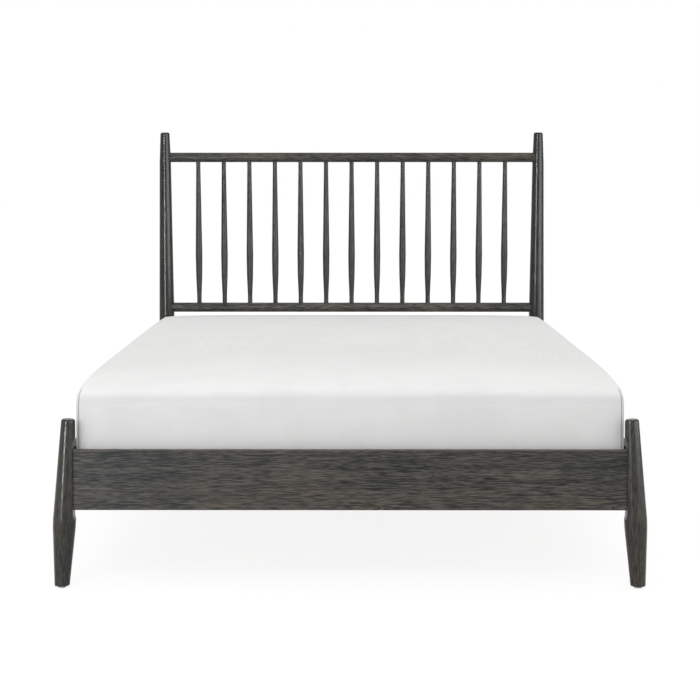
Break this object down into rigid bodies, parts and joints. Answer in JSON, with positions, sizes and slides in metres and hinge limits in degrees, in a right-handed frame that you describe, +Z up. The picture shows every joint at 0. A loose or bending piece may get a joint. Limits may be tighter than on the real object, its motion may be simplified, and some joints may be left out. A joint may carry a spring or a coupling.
{
  "type": "platform bed",
  "caption": "Queen platform bed with a spindle headboard on tall turned posts, canted turned foot legs, flat rails, slatted platform and a mattress under a fitted sheet.",
  "frame": {"origin": "on the floor below the middle of the bed's box", "axes": "+Z up, +Y from the foot end to the headboard, +X to the right seen from the foot end"},
  "size_m": [1.6374, 2.1522, 1.3],
  "materials": {
    "stained_wood": "satin",
    "platform_pine": "matte",
    "dowel_beech": "matte",
    "zinc_steel": "satin",
    "screw_steel": "satin",
    "bracket_steel": "satin",
    "glide_plastic": "matte",
    "pad_rubber": "matte",
    "mattress_ticking": "matte",
    "sheet_cotton": "matte"
  },
  "bodies": {
    "frame": {"beam_bracket_foot": "bracket_steel", "beam_bracket_head": "bracket_steel", "bracket_screws": "screw_steel", "centre_beam": "platform_pine", "centre_leg": "stained_wood", "foot_post_left": "stained_wood", "foot_post_right": "stained_wood", "foot_rail": "stained_wood", "foot_rail_dowels": "dowel_beech", "head_post_left": "stained_wood", "head_post_right": "stained_wood", "head_rail": "stained_wood", "head_rail_dowels": "dowel_beech", "headboard_crest_rail": "stained_wood", "headboard_lower_rail": "stained_wood", "ledger_screws": "screw_steel", "leg_hanger_bolt": "zinc_steel", "leg_insert": "zinc_steel", "plate_screws": "screw_steel", "post_glides": "glide_plastic", "post_plates": "zinc_steel", "rail_hook_plates": "zinc_steel", "side_ledger_left": "platform_pine", "side_ledger_right": "platform_pine", "side_rail_left": "stained_wood", "side_rail_right": "stained_wood", "slat_01": "platform_pine", "slat_02": "platform_pine", "slat_03": "platform_pine", "slat_04": "platform_pine", "slat_05": "platform_pine", "slat_06": "platform_pine", "slat_07": "platform_pine", "slat_08": "platform_pine", "slat_09": "platform_pine", "slat_10": "platform_pine", "slat_11": "platform_pine", "slat_12": "platform_pine", "slat_13": "platform_pine", "slat_screws": "screw_steel", "spindle_01": "stained_wood", "spindle_02": "stained_wood", "spindle_03": "stained_wood", "spindle_04": "stained_wood", "spindle_05": "stained_wood", "spindle_06": "stained_wood", "spindle_07": "stained_wood", "spindle_08": "stained_wood", "spindle_09": "stained_wood", "spindle_10": "stained_wood", "spindle_11": "stained_wood", "spindle_12": "stained_wood", "spindle_13": "stained_wood"},
    "mattress": {"mattress": "mattress_ticking", "fitted_sheet": "sheet_cotton"},
    "leveller_pad": {"leveller_pad": "pad_rubber"},
    "leveller_stud": {"leveller_stud": "zinc_steel"}
  },
  "joints": [
    {"name": "mattress_lift", "type": "slide", "parent": "frame", "child": "mattress", "axis": [0, 0, 1], "range_m": [0, 0.3]},
    {"name": "leveller_travel", "type": "slide", "parent": "frame", "child": "leveller_pad", "axis": [0, 0, 1], "range_m": [0, 0.012]},
    {"name": "leveller_turn", "type": "hinge", "parent": "leveller_pad", "child": "leveller_stud", "pos_m": [0, -0.00169, 0.03], "axis": [0, 0, 1], "range_deg": [0, 3460]}
  ],
  "couplings": [
    {"joint": "leveller_turn", "follows": "leveller_travel", "rad_per_m": 5026.5}
  ]
}
